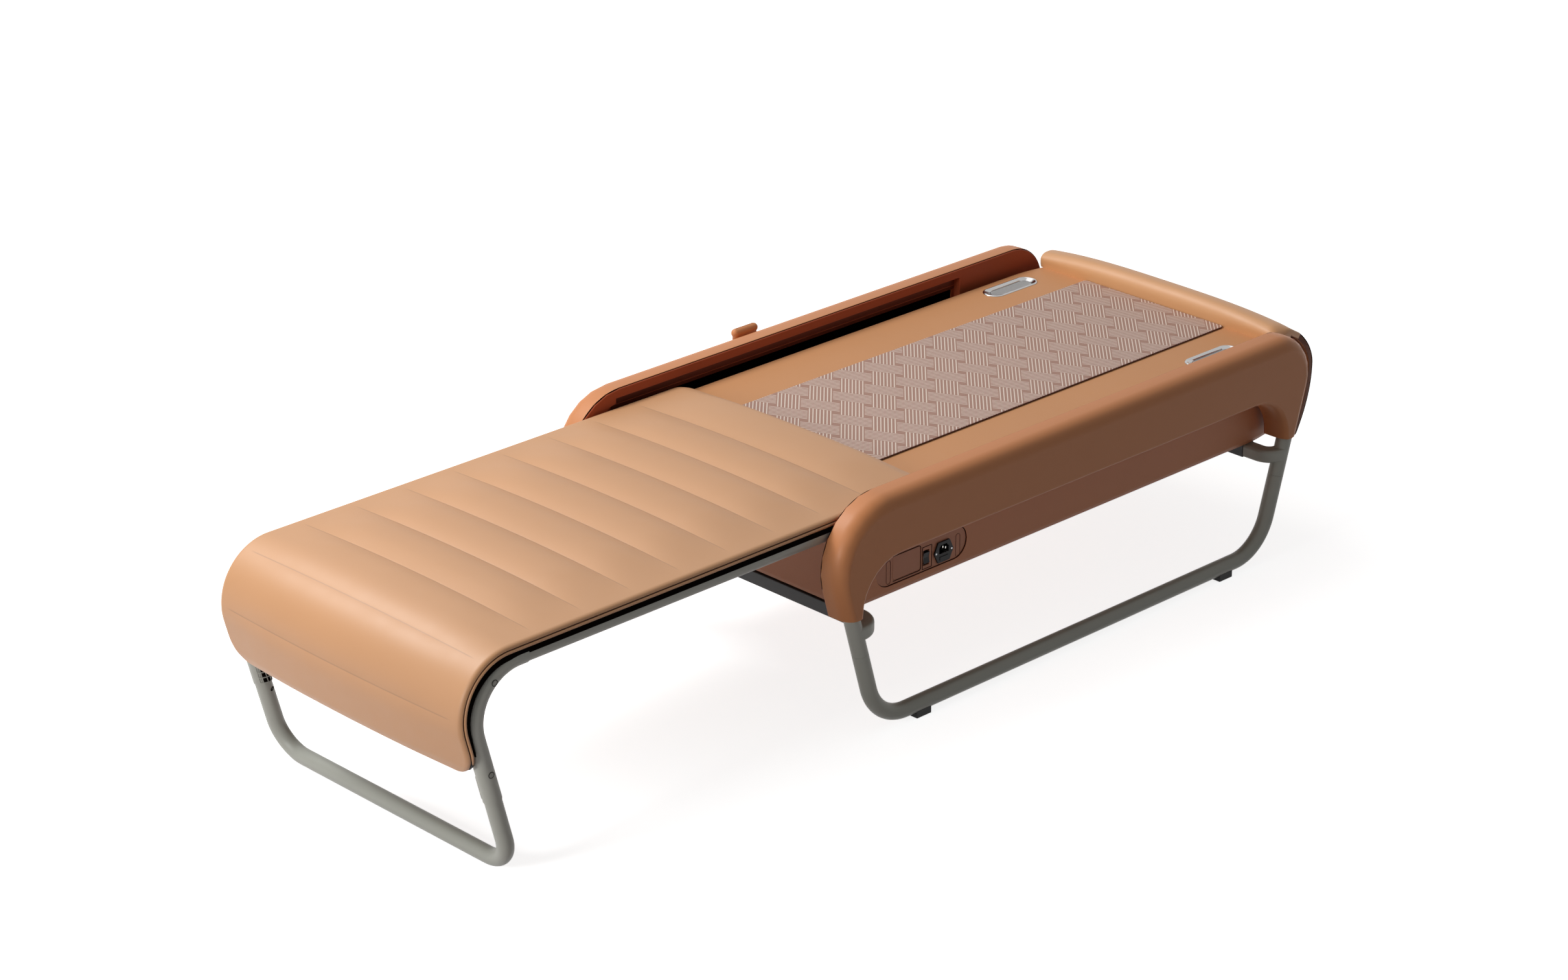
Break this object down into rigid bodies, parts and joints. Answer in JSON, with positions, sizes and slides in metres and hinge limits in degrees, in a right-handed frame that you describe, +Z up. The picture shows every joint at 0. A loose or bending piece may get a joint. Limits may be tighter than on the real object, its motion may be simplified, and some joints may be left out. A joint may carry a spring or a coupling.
{
  "type": "thermal massage bed",
  "caption": "Padded massage bed on two tubular leg loops, with a roller carriage under a woven top mat, speakers at the head end and a channelled leg mat that slides out on its own frame",
  "frame": {"origin": "On the floor, under the middle of the bed's outer box with the leg mat pulled out", "axes": "+X runs along the bed from the leg mat's foot end to the head end, +Y from the side with the mains inlet to the side with the remote holder, +Z up"},
  "size_m": [2.1672, 0.7588, 0.452],
  "materials": {
    "tan_leather": "soft synthetic leather, satin",
    "brown_shell": "moulded plastic, fine matt grain",
    "tan_shell": "moulded plastic, satin",
    "dark_cover": "dark red-brown moulded plastic, matt",
    "woven_top": "patterned woven-look cloth, matt",
    "warm_grey_paint": "powder coat, satin, slight metallic",
    "beam_paint": "dark grey paint, matt",
    "black_plastic": "black plastic, satin",
    "black_rubber": "black rubber, matt",
    "chrome": "bright chrome plate",
    "steel": "bare steel",
    "roller_stone": "polished green stone",
    "board_green": "green circuit board"
  },
  "bodies": {
    "bed": {"leg_loop_near": "warm_grey_paint", "leg_loop_far": "warm_grey_paint", "leg_post_foot_near": "warm_grey_paint", "leg_post_foot_far": "warm_grey_paint", "leg_post_head_near": "warm_grey_paint", "leg_post_head_far": "warm_grey_paint", "foot_pad_foot_near": "black_rubber", "foot_pad_foot_far": "black_rubber", "foot_pad_head_near": "black_rubber", "foot_pad_head_far": "black_rubber", "cross_beam_foot": "beam_paint", "cross_beam_head": "beam_paint", "main_box_shell": "tan_shell", "base_pan": "steel", "top_deck": "tan_leather", "top_mat": "woven_top", "side_panel_near": "tan_shell", "side_panel_far": "tan_shell", "inner_cover_near": "dark_cover", "inner_cover_far": "dark_cover", "slide_rail_near": "black_plastic", "slide_rail_far": "black_plastic", "remote_holder": "tan_shell", "head_end_pad": "tan_leather", "head_pad_backing": "brown_shell", "speaker_bezel_near": "chrome", "speaker_bezel_far": "chrome", "speaker_grille_near": "steel", "speaker_grille_far": "steel", "power_plate": "tan_shell", "service_cover": "tan_shell", "power_inlet": "black_plastic", "carriage_rail_near": "steel", "carriage_rail_far": "steel", "drive_motor": "black_plastic", "idler_bracket": "steel", "drive_belt": "black_rubber", "power_supply": "steel", "control_board": "board_green"},
    "leg_mat": {"aux_pad": "tan_leather", "aux_piping": "tan_leather", "aux_base_board": "black_plastic", "aux_frame_tube_near": "warm_grey_paint", "aux_frame_tube_far": "warm_grey_paint", "aux_tube_bend_near": "warm_grey_paint", "aux_tube_bend_far": "warm_grey_paint", "aux_foot_leg": "warm_grey_paint", "slider_block_near": "black_plastic", "slider_block_far": "black_plastic", "leg_clip_near": "black_plastic", "leg_clip_far": "black_plastic"},
    "carriage": {"massage_carriage": "steel"},
    "lift": {"lift_frame": "steel"},
    "foot_rollers": {"roller_pair_foot": "roller_stone"},
    "head_rollers": {"roller_pair_head": "roller_stone"},
    "drive_wheel": {"drive_pulley": "steel"},
    "idler_wheel": {"idler_pulley": "steel"},
    "rocker": {"rocker_switch": "black_plastic"},
    "fuse_holder": {"fuse_drawer": "black_plastic"}
  },
  "joints": [
    {"name": "aux_mat_slide", "type": "slide", "parent": "bed", "child": "leg_mat", "axis": [1, 0, 0], "range_m": [0, 0.72]},
    {"name": "carriage_slide", "type": "slide", "parent": "bed", "child": "carriage", "axis": [1, 0, 0], "range_m": [-0.4, 0.4]},
    {"name": "carriage_lift", "type": "slide", "parent": "carriage", "child": "lift", "axis": [0, 0, 1], "range_m": [-0.04, 0]},
    {"name": "roller_foot_spin", "type": "hinge", "parent": "lift", "child": "foot_rollers", "pos_m": [0.29056, -0.0064, 0.3801], "axis": [0, 1, 0], "continuous": true},
    {"name": "roller_head_spin", "type": "hinge", "parent": "lift", "child": "head_rollers", "pos_m": [0.39456, -0.0064, 0.3801], "axis": [0, 1, 0], "continuous": true},
    {"name": "drive_pulley_spin", "type": "hinge", "parent": "bed", "child": "drive_wheel", "pos_m": [0.92756, -0.0064, 0.268], "axis": [0, 1, 0], "range_deg": [-1440, 1440]},
    {"name": "idler_pulley_spin", "type": "hinge", "parent": "bed", "child": "idler_wheel", "pos_m": [-0.15744, -0.0064, 0.268], "axis": [0, 1, 0], "range_deg": [-1440, 1440]},
    {"name": "rocker_tilt", "type": "hinge", "parent": "bed", "child": "rocker", "pos_m": [-0.00894, -0.3134, 0.2675], "axis": [1, 0, 0], "range_deg": [-8, 8]},
    {"name": "fuse_drawer_slide", "type": "slide", "parent": "bed", "child": "fuse_holder", "axis": [0, -1, 0], "range_m": [0, 0.014]}
  ],
  "couplings": [
    {"joint": "drive_pulley_spin", "follows": "carriage_slide", "rad_per_m": 62.5},
    {"joint": "idler_pulley_spin", "follows": "carriage_slide", "rad_per_m": 62.5}
  ]
}
